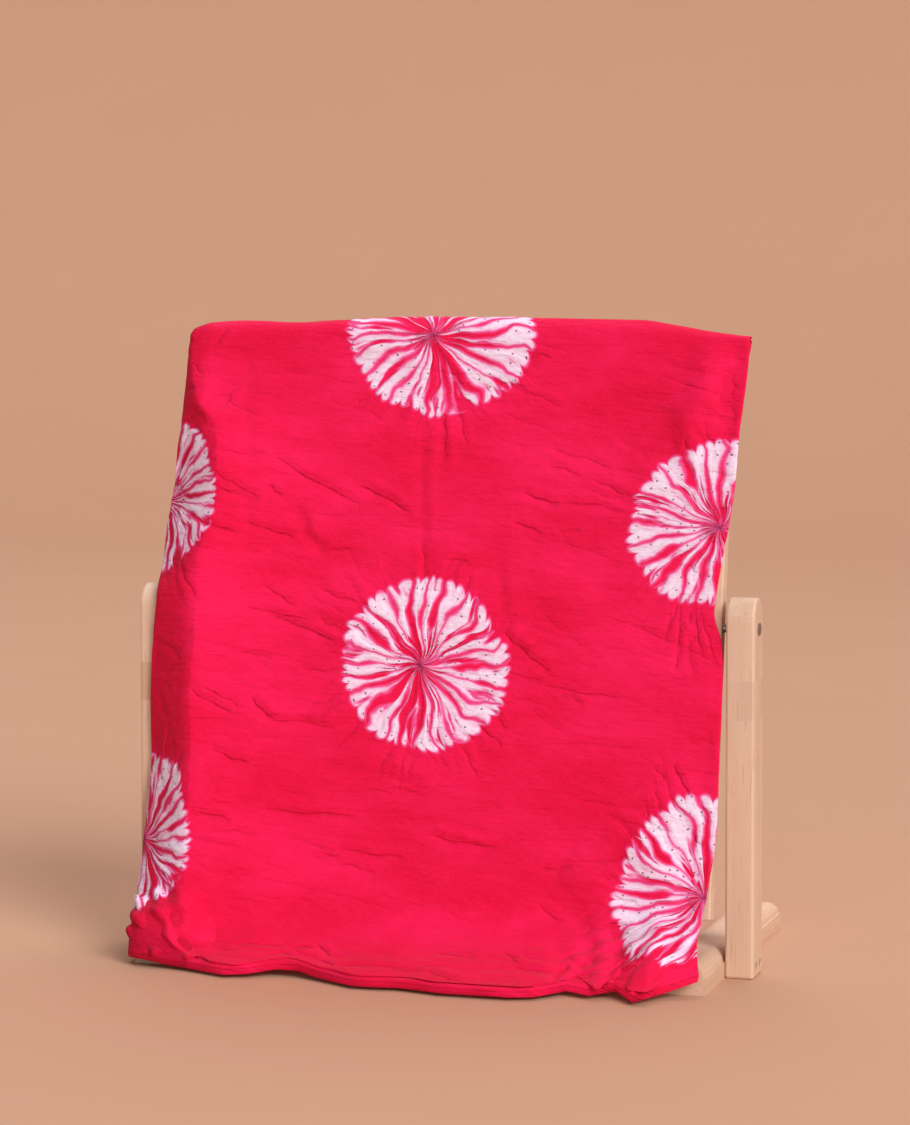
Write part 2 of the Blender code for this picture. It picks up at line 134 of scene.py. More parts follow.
# How the free end below the board bends forward to the floor and over the two feet.
Skirt = namedtuple("Skirt", "x hem_x knee_reach knee_high hem_reach hem_high")
SKIRT = (
    Skirt(-272, -265, 54, 42, 62, 8),
    Skirt(-262, -259, 76, 48, 86, 7),
    Skirt(-250, -247, 85, 49, 94, 7),
    Skirt(-214, -212, 84, 46, 100, 3.5),
    Skirt(-190, -190, 62, 27, 107, 3),
    Skirt(-150, -150, 55, 22, 123, 3),
    Skirt(-128, -128, 54, 22, 110, 5),
    Skirt(-108, -108, 54, 24, 100, 7),
    Skirt(-65, -66, 53, 20, 118, 3),
    Skirt(-30, -30, 53, 20, 137, 3),
    Skirt(8, 8, 53, 20, 133, 3),
    Skirt(40, 40, 53, 20, 144, 3),
    Skirt(110, 110, 53, 20, 145, 3),
    Skirt(132, 132, 53, 20, 130, 3),
    Skirt(150, 151, 54, 24, 108, 5),
    Skirt(172, 174, 56, 24, 127, 3),
    Skirt(185, 187, 60, 30, 108, 6),
    Skirt(202, 205, 80, 44, 134, 3),
    Skirt(213, 218, 86, 47, 137, 3),
    Skirt(223, 226, 87, 47, 106, 6),
    Skirt(236, 242, 87, 47, 98, 7),
    Skirt(247, 253, 85, 48, 88, 15),
)

# Broad creases of the front layer, as in the solid.
Crease = namedtuple("Crease", "x0 up0 x1 up1 wide high")
CREASES = (
    Crease(236, 500, 214, 400, 15, 5.0),
    Crease(256, 500, 246, 405, 10, -3.0),
    Crease(196, 470, 226, 380, 13, 2.5),
    Crease(-205, 60, -120, 4, 18, 3.5),
    Crease(120, 40, 176, 14, 16, 4.0),
    Crease(176, 70, 232, 20, 17, 5.0),
    Crease(-130, 430, -30, 385, 22, 1.8),
    Crease(40, 300, 150, 262, 24, 1.8),
)

# Sharp wrinkles of the front, each a trough with a softer ridge beside it, or the other way
# round where the height is above zero. Below the board's lower edge, up runs on below zero.
Wrinkle = namedtuple("Wrinkle", "x0 up0 x1 up1 wide high")
WRINKLES = [Wrinkle(*row) for row in (
    (-212, 511, -231, 492, 3, -1),
    (-197, 458, -234, 437, 3, -1),
    (-205, 449, -217, 431, 3, -1.1),
    (-154, 470, -181, 457, 3, 0.6),
    (-221, 396, -162, 392, 3, -1.2),
    (-164, 392, -76, 347, 4, -1.5),
    (-85, 367, -30, 344, 4, -1.8),
    (-213, 376, -171, 350, 4, -1.6),
    (-217, 360, -171, 351, 3, -1.3),
    (-165, 365, -150, 356, 3, -1.3),
    (-229, 327, -188, 322, 3, -1.7),
    (-182, 332, -138, 316, 3.5, -1.7),
    (-112, 308, -83, 307, 3, -1.2),
    (-138, 346, -111, 299, 6, -2.4),
    (-125, 333, -115, 312, 4, 1.4),
    (-160, 247, -93, 227, 3.5, -1.8),
    (-182, 257, -117, 241, 3, -1),
    (-113, 248, -84, 233, 3, -1.2),
    (-114, 272, -71, 260, 3, -1.3),
    (-166, 273, -132, 257, 3, -1),
    (-25, 435, -21, 301, 5, -0.9),
    (-11, 440, -7, 381, 5, -1),
    (-193, 506, -180, 297, 6, -0.5),
    (71, 488, 90, 485, 2.5, -1),
    (40, 465, 71, 452, 3, -0.9),
    (89, 405, 151, 384, 3, -1),
    (90, 388, 120, 379, 3, -1.3),
    (67, 361, 103, 355, 3.5, -1.9),
    (103, 355, 164, 349, 3, -1.2),
    (60, 335, 88, 330, 3, -1.6),
    (101, 331, 122, 330, 3, -1.5),
    (129, 375, 166, 362, 3, -1.1),
    (243, 478, 253, 425, 6, -3),
    (257, 482, 237, 472, 4, 2),
    (226, 410, 259, 419, 4, -1.6),
    (212, 268, 216, 220, 3, -0.9),
    (225, 268, 235, 223, 3, -1),
    (204, 266, 203, 236, 3, -0.7),
    (233, 262, 246, 214, 3, -0.8),
    (219, 262, 227, 204, 3, -0.7),
    (222, 257, 218, 233, 3, 1),
    (56, 240, 79, 219, 3.5, -1.8),
    (2, 302, 24, 299, 3, -1.4),
    (50, 312, 60, 237, 5, -0.7),
    (-193, 214, -150, 208, 3, -1.1),
    (-127, 200, -90, 201, 3, -1.2),
    (-226, 180, -186, 157, 4, -1.5),
    (-170, 174, -146, 152, 4, -2),
    (-161, 154, -92, 151, 4.5, -2.2),
    (-213, 183, -179, 163, 3, -1.1),
    (-202, 126, -167, 115, 4, -1.4),
    (-105, 115, -3, 106, 6, -1.3),
    (-157, 77, -68, 72, 3, -1.8),
    (-218, 70, -180, 65, 3, -1.6),
    (-205, 54, -153, 54, 3, -1.4),
    (-83, 44, -22, 40, 3, -1.8),
    (-105, 35, -81, 38, 3, -1.1),
    (-85, 31, -46, 26, 3, -1.1),
    (-118, -2, -84, 4, 3, 1.1),
    (-167, -50, -121, -49, 3, -1.7),
    (-116, -53, -89, -47, 3, -1.8),
    (-91, -47, -71, -63, 3, -1.8),
    (-125, -59, -86, -68, 3, -1.6),
    (-86, -68, -64, -85, 3, -1.6),
    (-66, -86, 5, -81, 4, -2.2),
    (-219, -52, -159, -62, 3, -1.7),
    (-242, -22, -234, -59, 5, -3.6),
    (-234, -59, -210, -97, 5, -5),
    (-264, -44, -241, -60, 4.5, -3.2),
    (-268, -70, -238, -83, 4.5, -3.4),
    (-258, -90, -226, -101, 4.5, -2.8),
    (-210, -97, -168, -111, 4, -1.8),
    (-198, -102, -148, -103, 3, -1.6),
    (-148, -103, -115, -84, 3, -1.5),
    (-262, 193, -230, 202, 3, -1.1),
    (61, 233, 101, 206, 4, -1.9),
    (57, 207, 94, 195, 3, -1.2),
    (94, 195, 165, 183, 3, -1.4),
    (109, 187, 133, 178, 3, -1),
    (23, 138, 41, 113, 3, -0.9),
    (214, 131, 227, 102, 3, -1.3),
    (196, 128, 206, 115, 3, -1.1),
    (0, 60, 61, 50, 3.5, -2),
    (3, 67, 52, 58, 3, 1),
    (99, 33, 130, 41, 4, -1.4),
    (130, 41, 176, 49, 4, -1.5),
    (161, 13, 189, 13, 3.5, -1.9),
    (146, -15, 186, -6, 3.5, -1.9),
    (99, 4, 125, -9, 3, -1.1),
    (129, -55, 158, -29, 3, -1.3),
    (94, -71, 138, -77, 4, -2.2),
    (142, -57, 142, -100, 4, -2.4),
    (143, -101, 181, -99, 3.5, -2.2),
    (-13, -87, 23, -90, 4, -2),
    (23, -90, 65, -110, 4, -2.4),
    (176, -92, 192, -84, 3, -1.8),
    (192, -84, 198, -53, 3, -2),
    (198, -53, 212, -48, 3, -1.6),
    (201, -97, 213, -70, 3, -1.8),
    (213, -70, 225, -59, 3, -1.4),
    (211, 229, 214, 210, 3, -1),
)]

# Where short wrinkles are strewn at random, how many, and how they lean
Patch = namedtuple("Patch", "count x0 x1 up0 up1 longest lean lean_spread high")
WRINKLE_PATCHES = (
    Patch(430, -270, 255, -100, 1080, 70, -9, 14, 0.55),
    Patch(150, -215, 250, -20, 1060, 170, -8, 9, 0.75),
    Patch(70, -290, -222, -90, 500, 34, -25, 30, 1.3),
    Patch(70, -280, 250, -150, -45, 50, -6, 22, 1.5),
    Patch(34, 222, 256, 60, 480, 26, -20, 35, 1.2),
    Patch(22, -292, -215, -120, -20, 44, 62, 25, 2.4),
)

# How far a wrinkle's crisp line is drawn to either side, where it fades out, and how wide a
# wrinkle may be before it has no crisp line
WRINKLE_REACH = 6.0
WRINKLE_FADE = 1.6
WRINKLE_FADE_TO = 4.0
WRINKLE_SOFT = 5.0
ROUND_WRINKLES = 26

# How far the relief may sink or rise, and its share on the inner layer and at the side folds
RELIEF_LOW = -1.8
RELIEF_HIGH = 4.0
INNER_RELIEF = 0.25
INNER_CRUMPLE = 0.6
FOLD_EASE = 0.02

# Slow unevenness of the sheet
WAVES = 14
WAVE_HIGH = 0.28

# The turned hem and its stitches
HEM_WIDE = 6.0
STITCHES_PER_METRE = 380.0

# Tied rounds, in the flat cloth: along it from the middle line, and up it from the board's
# lower edge. The turn is the seed of each one's own petals.
Tied = namedtuple("Tied", "along up half_wide half_high turn")
TIED_ROUNDS = (
    Tied(-19.0, 505, 82, 71, 1.0),
    Tied(-16.0, 208, 73, 73, 2.0),
    Tied(246.0, 336, 80, 69, 3.0),
    Tied(246.0, 18, 77, 80, 4.0),
    Tied(-280.0, 354, 71, 67, 5.0),
    Tied(-280.0, 46, 68, 72, 6.0),
    Tied(250.0, 668, 72, 70, 7.0),
    Tied(-282.0, 672, 70, 70, 8.0),
    Tied(-14.0, 858, 74, 74, 9.0),
    Tied(246.0, 1000, 74, 70, 10.0),
    Tied(-280.0, 1004, 70, 70, 11.0),
)

# Petals of one tied round and the lobes that each has at the rim. Between petals are gaps:
# their least width and its spread as shares of the round's half size, what is left of them
# at the rim, and how far they wander, in petals.
PETALS = 24
LOBES = 2
GAP_WIDE = 0.020
GAP_SPREAD = 0.054
GAP_AT_RIM = 0.42
GAP_WANDER = 1.2

# How far the petals turn aside, in radians, how close their streaks are, and, as shares of
# the half size, the rim, its lobes, and the rings and sizes of the stitch holes
PETAL_DRIFT = 0.55
STREAK_PITCH = 6.5
RIM_FAR = 0.940
RIM_UNEVEN = 0.42
LOBE_DEEP = 0.085
OUTER_RING = 0.925
RING_PITCH = 0.155
HOLE_SIZE = (0.007, 0.016)

# The free end's crumpled corners: their middles along the cloth, widths and shares of the
# height, the hem's short lifts at the left one, and the rows that ease the bend above them
Crumple = namedtuple("Crumple", "along wide share")
CRUMPLES = (
    Crumple(-252.0, 42.0, 1.0),
    Crumple(190.0, 60.0, 0.45),
)
CRUMPLE_HIGH = 3.3
CRUMPLE_FROM = 8.0
CRUMPLE_RAMP = 30.0
Lift = namedtuple("Lift", "along wide high")
HEM_LIFTS = (
    Lift(-277.0, 9.0, 6.0),
    Lift(-236.0, 8.0, 4.0),
    Lift(-205.0, 10.0, 2.0),
)
LIFT_RAMP = 30.0
BEND_ROWS = 10

# Where the sheet's lines run
SEAM_X = -196.5
WING_LINES = 26
INNER_WING_LINES = 12
FRONT_LINES = 204
INNER_LINES = 22
TURN_LINES = 5
SLOPE_STEP = 0.004
SKIRT_ROWS = 46
FACE_ROWS = 206
ARC_ROWS = 22
BACK_ROWS = 60

# Heights, in metres, of the short darker length that is jointed into each post
JOINTED_LENGTH = (0.2225, 0.2565)

# Painted shade, in metres of the flat cloth: the ground is darkened toward the lower end, on the left side
# from the crease on, and in the free end's left corner
LOW_END = (-0.12, 0.30)
LOW_PAINTED_DARKER = 0.26
SIDE_EDGE = (-0.240, -0.226)
SIDE_PAINTED_DARKER = 0.6
SIDE_SHADE = 0.22
CORNER_ALONG = (-0.250, -0.215)
CORNER_UP = (-0.065, 0.0)
CORNER_SHADE = 0.55
# Painted shade along each wrinkle's crisp line, for each millimetre of its depth
LINE_SHADE = 0.055

# Colours, as linear light
WOOD_LIGHT = (0.800, 0.560, 0.415, 1.0)
WOOD_DARK = (0.640, 0.400, 0.265, 1.0)
WOOD_FLECK = (0.470, 0.270, 0.165, 1.0)
CRIMSON = (0.930, 0.011, 0.098, 1.0)
CRIMSON_DEEP = (0.790, 0.004, 0.050, 1.0)
PINK = (0.900, 0.140, 0.440, 1.0)
PALE_PINK = (0.930, 0.550, 0.780, 1.0)
CREAM = (0.930, 0.800, 0.960, 1.0)
CRIMSON_SLUB = (0.95, 0.030, 0.140, 1.0)
PINHOLE = (0.170, 0.030, 0.070, 1.0)
# Painted shade: multiplied into the cloth's colour where shade is painted
PAINTED_SHADE_TINT = (0.42, 0.25, 0.30, 1.0)
STEEL_DARK = (0.24, 0.23, 0.22, 1.0)
STEEL_LIGHT = (0.42, 0.41, 0.39, 1.0)
STUDIO_TAN = (0.590, 0.325, 0.208, 1.0)
STUDIO_DEEPER = 0.96
AIR = (1.0, 0.98, 0.96, 1.0)
AIR_STRENGTH = 0.14

# The backdrop, in metres, and the view, fitted to the posts, the feet and the board
BACKDROP_WIDE = 16.0
BACKDROP_FRONT = -7.0
BACKDROP_BACK = 7.5
BACKDROP_RADIUS = 3.0
BACKDROP_HIGH = 6.0
SWEEP_STEPS = 16
VIEW_FROM = (0.8727, -2.9035, 0.5938)
VIEW_DOWN = 2.323
VIEW_TURN = 16.468
VIEW_LENS = 111.018
VIEW_SHIFT = -0.12


# Shader nodes

class Graph:
    """Adds and links the nodes of one material."""

    def __init__(self, name):
        self.material = bpy.data.materials.new(name)
        self.material.use_nodes = True
        self.tree = self.material.node_tree
        self.shader = self.tree.nodes["Principled BSDF"]

    def put(self, socket, value):
        if isinstance(value, bpy.types.NodeSocket):
            self.tree.links.new(value, socket)
        else:
            socket.default_value = value

    def node(self, kind, values=()):
        """A new node with some of its sockets set or linked, each by its name or number."""
        node = self.tree.nodes.new("ShaderNode" + kind)
        for key, value in dict(values).items():
            self.put(node.inputs[key], value)
        return node

    def math(self, operation, first, second=0.0, third=0.0):
        node = self.node("Math", enumerate((first, second, third)))
        node.operation = operation
        return node.outputs[0]

    def times(self, first, second):
        return self.math("MULTIPLY", first, second)

    def plus(self, first, second):
        return self.math("ADD", first, second)

    def minus(self, first, second):
        return self.math("SUBTRACT", first, second)

    def times_plus(self, first, second, third):
        return self.math("MULTIPLY_ADD", first, second, third)

    def vector(self, operation, first, second=(0.0, 0.0, 0.0)):
        node = self.node("VectorMath", enumerate((first, second)))
        node.operation = operation
        return node.outputs["Value" if operation == "LENGTH" else "Vector"]

    def attribute(self, name, output="Fac"):
        node = self.node("Attribute")
        node.attribute_name = name
        return node.outputs[output]

    def split(self, vector):
        return self.node("SeparateXYZ", {0: vector}).outputs

    def join(self, x, y, z):
        return self.node("CombineXYZ", enumerate((x, y, z))).outputs[0]

    def noise(self, place, scale, detail=2.0, roughness=0.5):
        values = {"Vector": place, "Scale": scale, "Detail": detail, "Roughness": roughness}
        return self.node("TexNoise", values).outputs[0]

    def chance(self, number):
        node = self.node("TexWhiteNoise")
        node.noise_dimensions = "1D"
        self.put(node.inputs["W"], number)
        return node.outputs["Value"]

    def soft_step(self, value, low, high, start=0.0, end=1.0):
        values = {"Value": value, "From Min": low, "From Max": high, "To Min": start, "To Max": end}
        node = self.node("MapRange", values)
        node.interpolation_type = "SMOOTHSTEP"
        return node.outputs[0]

    def mix(self, factor, first, second, kind="RGBA", blend="MIX"):
        node = self.node("Mix")
        node.data_type = kind
        if kind == "RGBA":
            node.blend_type = blend
        inputs = [socket for socket in node.inputs if socket.enabled]
        for socket, value in zip(inputs, (factor, first, second)):
            self.put(socket, value)
        return [socket for socket in node.outputs if socket.enabled][0]

    def bump(self, height, distance, strength=1.0, normal=None):
        node = self.node("Bump", {"Height": height, "Distance": distance, "Strength": strength})
        if normal is not None:
            self.put(node.inputs["Normal"], normal)
        return node.outputs["Normal"]

    def finish(self, colour, roughness, normal):
        for name, value in (("Base Color", colour), ("Roughness", roughness), ("Normal", normal)):
            self.put(self.shader.inputs[name], value)
        return self.material


def object_place(graph):
    return graph.node("TexCoord").outputs["Object"]


def wood_material(name, stretch, jointed=None):
    """Planed beech whose grain runs along the axis that stretch leaves short. A jointed length
    between two heights is darker and has grain of its own."""
    graph = Graph(name)
    place = object_place(graph)
    if jointed is not None:
        high = graph.split(place)[2]
        over = graph.math("GREATER_THAN", high, jointed[0])
        under = graph.math("LESS_THAN", high, jointed[1])
        block = graph.times(over, under)
        shift = graph.times(block, 3.7)
        place = graph.vector("ADD", place, graph.join(shift, shift, 0.0))
    along = graph.vector("MULTIPLY", place, stretch)
    broad = graph.noise(along, 9.0, 3.0, 0.55)
    rings = graph.noise(along, 60.0, 2.0, 0.5)
    fleck = graph.noise(graph.vector("MULTIPLY", along, (3.0, 3.0, 3.0)), 160.0, 1.0, 0.5)
    tone = graph.times_plus(rings, 0.45, graph.times(broad, 0.8))
    tone = graph.soft_step(tone, 0.40, 0.85)
    colour = graph.mix(tone, WOOD_DARK, WOOD_LIGHT)
    flecks = graph.soft_step(fleck, 0.62, 0.74, 0.0, 0.45)
    colour = graph.mix(flecks, colour, WOOD_FLECK)
    if jointed is not None:
        colour = graph.mix(graph.times(block, 0.22), colour, WOOD_FLECK)
    grain = graph.plus(rings, graph.times(fleck, 0.6))
    normal = graph.bump(grain, 0.0004, 0.35)
    roughness = graph.soft_step(broad, 0.3, 0.7, 0.48, 0.62)
    return graph.finish(colour, roughness, normal)


def steel_material():
    graph = Graph("dull zinc steel")
    place = object_place(graph)
    wear = graph.noise(place, 350.0, 3.0, 0.6)
    colour = graph.mix(wear, STEEL_DARK, STEEL_LIGHT)
    graph.shader.inputs["Metallic"].default_value = 1.0
    roughness = graph.soft_step(wear, 0.3, 0.7, 0.28, 0.5)
    return graph.finish(colour, roughness, graph.bump(wear, 0.0001, 0.4))


def nearest_round(graph, place):
    """Place inside the nearest tied round, in units of its half sizes, and how far out it is."""
    best_place, best_far = None, None
    for tied in TIED_ROUNDS:
        middle = (tied.along * MM, tied.up * MM, -tied.turn)
        units = (1 / (tied.half_wide * MM), 1 / (tied.half_high * MM), 1.0)
        here = graph.vector("MULTIPLY", graph.vector("SUBTRACT", place, middle), units)
        far = graph.vector("LENGTH", graph.vector("MULTIPLY", here, (1.0, 1.0, 0.0)))
        if best_place is None:
            best_place, best_far = here, far
            continue
        nearer = graph.math("LESS_THAN", far, best_far)
        best_place = graph.mix(nearer, best_place, here, "VECTOR")
        best_far = graph.math("MINIMUM", far, best_far)
    return best_place, best_far


def petal_gaps(graph, far, angle, seed, roughness):
    """Distance from the nearest crimson gap between two petals, below zero inside the gap,
    and the angle counted in petals."""
    turns = graph.times(angle, PETALS / (2 * math.pi))
    line = graph.math("ROUND", turns)
    which = graph.math("WRAP", line, float(PETALS), 0.0)
    name = graph.times_plus(seed, 41.0, which)
    luck = graph.chance(name)
    broad = graph.chance(graph.plus(name, 0.37))
    path = graph.join(graph.times(name, 7.3), graph.times(far, 2.4), 0.0)
    wander = graph.noise(path, 1.0, 2.0)
    wander = graph.times(graph.minus(wander, 0.5), GAP_WANDER)
    off_line = graph.minus(graph.minus(turns, line), wander)
    off_line = graph.times(graph.math("ABSOLUTE", off_line), far)
    off_line = graph.times(off_line, 2 * math.pi / PETALS)
    start = graph.soft_step(luck, 0.38, 0.46, 0.03, 0.36)
    start = graph.times_plus(graph.soft_step(luck, 0.46, 1.0), 0.46, start)
    opened = graph.soft_step(graph.minus(far, start), -0.02, 0.16)
    narrowed = graph.soft_step(far, 0.55, 1.0, 1.0, GAP_AT_RIM)
    wide = graph.times_plus(graph.times(broad, broad), GAP_SPREAD, GAP_WIDE)
    wide = graph.times_plus(graph.minus(roughness, 0.5), 0.03, wide)
    wide = graph.times(graph.times(wide, opened), narrowed)
    return graph.minus(off_line, wide), turns


def stitch_holes(graph, far, turns, seed):
    """Pinholes left by the tying thread, in rings, one on each petal or rim lobe."""
    ring = graph.math("ROUND", graph.times_plus(far, -1 / RING_PITCH, OUTER_RING / RING_PITCH))
    ring_far = graph.times_plus(ring, -RING_PITCH, OUTER_RING)
    lobes = graph.times_plus(turns, float(LOBES), 0.5)
    lobe = graph.math("ROUND", lobes)
    name = graph.times_plus(ring, 97.0, graph.times_plus(seed, 131.0, lobe))
    aside = graph.times(graph.minus(graph.chance(name), 0.5), 0.5)
    outward = graph.chance(graph.plus(name, 0.4))
    loose = graph.soft_step(ring, 0.0, 1.0, 0.03, 0.10)
    outward = graph.times(graph.minus(outward, 0.5), loose)
    across = graph.minus(graph.minus(lobes, lobe), aside)
    across = graph.times(graph.times(across, far), 2 * math.pi / (PETALS * LOBES))
    along = graph.minus(graph.minus(far, ring_far), outward)
    away = graph.vector("LENGTH", graph.join(across, along, 0.0))
    hole = graph.soft_step(away, *HOLE_SIZE, 1.0, 0.0)
    inner = graph.math("GREATER_THAN", ring, 0.5)
    missed = graph.math("GREATER_THAN", graph.chance(graph.plus(name, 0.8)), 0.42)
    return graph.times(hole, graph.minus(1.0, graph.times(inner, missed)))


def tied_round(graph, place):
    """The tied rounds: a field above zero inside an undyed petal and below it outside, how far
    out a place is, the streaks that run outward, and the stitch holes."""
    inside, far = nearest_round(graph, place)
    x, y, seed = graph.split(inside)
    angle = graph.math("ARCTAN2", y, x)
    drift = graph.noise(graph.join(x, y, seed), 1.5, 1.0)
    angle = graph.times_plus(graph.minus(drift, 0.5), PETAL_DRIFT, angle)
    angle = graph.plus(angle, graph.soft_step(far, 0.0, 0.35, 0.25, 0.0))
    edge_noise = graph.noise(graph.join(x, y, seed), 13.0, 2.0, 0.6)
    gap, turns = petal_gaps(graph, far, angle, seed, edge_noise)

    round_x = graph.times(graph.math("COSINE", angle), STREAK_PITCH)
    round_y = graph.times(graph.math("SINE", angle), STREAK_PITCH)
    depth = graph.times_plus(far, 1.8, graph.times(seed, 9.0))
    streaks = graph.noise(graph.join(round_x, round_y, depth), 1.0, 2.0, 0.5)
    least = graph.soft_step(far, 0.04, 0.40, 0.475, 0.385)
    body = graph.times(graph.minus(streaks, least), 0.5)

    lobes = graph.math("ABSOLUTE", graph.math("SINE", graph.times(turns, LOBES * math.pi)))
    outline = graph.noise(graph.join(round_x, round_y, seed), 0.24, 1.0)
    rim = graph.times_plus(graph.minus(outline, 0.5), RIM_UNEVEN, RIM_FAR)
    rim = graph.times_plus(graph.math("POWER", lobes, 0.45), LOBE_DEEP, rim)
    rim = graph.minus(rim, far)

    field = graph.math("MINIMUM", graph.math("MINIMUM", gap, body), rim)
    grain = graph.times(graph.minus(edge_noise, 0.5), 0.014)
    holes = stitch_holes(graph, far, turns, seed)
    return graph.plus(field, grain), far, streaks, holes


def wrinkle_line(graph):
    """The crisp line of the nearest wrinkle, the ridge beside it, and its depth, for the relief and the
    painted shade along the line.
    """
    off_line = graph.attribute("wrinkle_off")
    depth = graph.math("MINIMUM", graph.attribute("wrinkle_depth"), 2.0)
    line = graph.soft_step(graph.math("ABSOLUTE", off_line), 0.1, 2.4, 1.0, 0.0)
    beside = graph.math("ABSOLUTE", graph.minus(off_line, 2.2))
    beside = graph.soft_step(beside, 0.2, 2.0, 1.0, 0.0)
    return line, beside, graph.math("MAXIMUM", depth, 0.0)


def stitched_hem(graph, place, colour, normal):
    """The narrow turned hem: a raised band with a dashed line of stitches."""
    inset = graph.attribute("hem_inset")
    along = graph.times(graph.split(place)[0], STITCHES_PER_METRE)
    dash = graph.math("GREATER_THAN", graph.math("FRACT", along), 0.3)
    off_line = graph.math("ABSOLUTE", graph.minus(inset, HEM_WIDE))
    stitch = graph.times(graph.soft_step(off_line, 0.25, 0.7, 1.0, 0.0), dash)
    colour = graph.mix(graph.times(stitch, 0.5), colour, CRIMSON_DEEP)
    band = graph.soft_step(inset, HEM_WIDE, HEM_WIDE + 1.2, 1.0, 0.0)
    height = graph.minus(band, graph.soft_step(off_line, 0.2, 1.4, 0.8, 0.0))
    return colour, graph.bump(height, 0.0008, 0.9, normal)


def weave(graph, place):
    """Fine threads along and across the cloth."""
    thread_across = graph.noise(graph.vector("MULTIPLY", place, (240.0, 1500.0, 1.0)), 1.0, 1.0)
    thread_up = graph.noise(graph.vector("MULTIPLY", place, (1500.0, 240.0, 1.0)), 1.0, 1.0)
    return graph.plus(thread_across, thread_up)


def ground_with_painted_shade(graph, place, threads):
    """The crimson ground, a little patchy, with painted shade: darker toward the lower end and on the left
    side, and darker still in the free end's left corner.
    """
    along, up, _ = graph.split(place)
    patches = graph.noise(graph.vector("MULTIPLY", place, (5.0, 9.0, 1.0)), 1.6, 4.0, 0.6)
    # Painted shade: the ground turns a deeper crimson toward the lower end
    deeper = graph.soft_step(up, *LOW_END, LOW_PAINTED_DARKER, 0.0)
    # Painted shade on the left side from the crease on, where the cloth turns away from the light
    deeper = graph.plus(deeper, graph.soft_step(along, *SIDE_EDGE, SIDE_PAINTED_DARKER, 0.0))
    tone = graph.minus(graph.soft_step(patches, 0.30, 0.70), deeper)
    ground = graph.mix(graph.math("MAXIMUM", tone, 0.0), CRIMSON_DEEP, CRIMSON)
    # Painted shade, multiplied in, in the free end's left corner and along the left side
    corner_across = graph.soft_step(along, *CORNER_ALONG, CORNER_SHADE, 0.0)
    corner = graph.times(corner_across, graph.soft_step(up, *CORNER_UP, 1.0, 0.0))
    side = graph.soft_step(along, *SIDE_EDGE, SIDE_SHADE, 0.0)
    shaded = graph.mix(1.0, ground, PAINTED_SHADE_TINT, blend="MULTIPLY")
    ground = graph.mix(graph.math("MAXIMUM", corner, side), ground, shaded)
    slub = graph.soft_step(threads, 0.75, 1.25, 0.0, 0.16)
    return graph.mix(slub, ground, CRIMSON_SLUB)


def undyed_petals(graph, place, ground, field, holes):
    """Lays the pale petals over the ground: a pink halo, stained white and dark stitch holes."""
    halo = graph.soft_step(field, -0.028, 0.006)
    paler = graph.soft_step(field, 0.000, 0.024)
    white = graph.soft_step(field, 0.012, 0.056)
    colour = graph.mix(graph.times(halo, 0.72), ground, PINK)
    colour = graph.mix(paler, colour, PALE_PINK)
    colour = graph.mix(graph.times(white, 0.85), colour, CREAM)
    mottle = graph.noise(place, 260.0, 3.0, 0.65)
    stain = graph.times(graph.soft_step(mottle, 0.46, 0.70), paler)
    colour = graph.mix(graph.times(stain, 0.26), colour, PINK)
    return graph.mix(graph.times(holes, graph.times(paler, 0.85)), colour, PINHOLE)


def cloth_relief(graph, place, petals, wrinkles, threads):
    """Fine relief: gathers, petals, wrinkle lines, crumpled cloth, crinkles and threads."""
    field, far, streaks = petals
    line, beside, depth = wrinkles
    crinkle = graph.noise(graph.vector("MULTIPLY", place, (70.0, 300.0, 1.0)), 1.0, 4.0, 0.6)
    crumple = graph.noise(graph.vector("MULTIPLY", place, (18.0, 60.0, 1.0)), 1.0, 3.0, 0.55)
    gathers = graph.times(streaks, graph.soft_step(far, 1.0, 1.7, 1.0, 0.0))
    ridge = graph.minus(graph.times(beside, 0.5), line)
    normal = graph.bump(gathers, 0.006, 0.55)
    normal = graph.bump(graph.soft_step(field, -0.03, 0.03), 0.0009, 0.6, normal)
    normal = graph.bump(graph.times(ridge, depth), 0.0008, 0.55, normal)
    normal = graph.bump(crumple, 0.004, 0.85, normal)
    normal = graph.bump(crinkle, 0.0012, 1.0, normal)
    return graph.bump(threads, 0.00025, 0.45, normal)


def cloth_material():
    graph = Graph("bandhani dyed cotton")
    place = graph.attribute("flat_place", "Vector")
    threads = weave(graph, place)
    field, far, streaks, holes = tied_round(graph, place)
    ground = ground_with_painted_shade(graph, place, threads)
    colour = undyed_petals(graph, place, ground, field, holes)
    line, beside, depth = wrinkle_line(graph)
    # Painted shade along the crisp line of the nearest wrinkle
    shaded = graph.mix(1.0, colour, PAINTED_SHADE_TINT, blend="MULTIPLY")
    shade = graph.times(line, graph.times(depth, LINE_SHADE))
    colour = graph.mix(shade, colour, shaded)
    normal = cloth_relief(graph, place, (field, far, streaks), (line, beside, depth), threads)
    colour, normal = stitched_hem(graph, place, colour, normal)
    graph.shader.inputs["Sheen Weight"].default_value = 0.04
    graph.shader.inputs["Sheen Roughness"].default_value = 0.45
    graph.shader.inputs["Specular IOR Level"].default_value = 0.10
    roughness = graph.soft_step(threads, 0.7, 1.3, 0.92, 0.78)
    return graph.finish(colour, roughness, normal)


# The cloth's shape

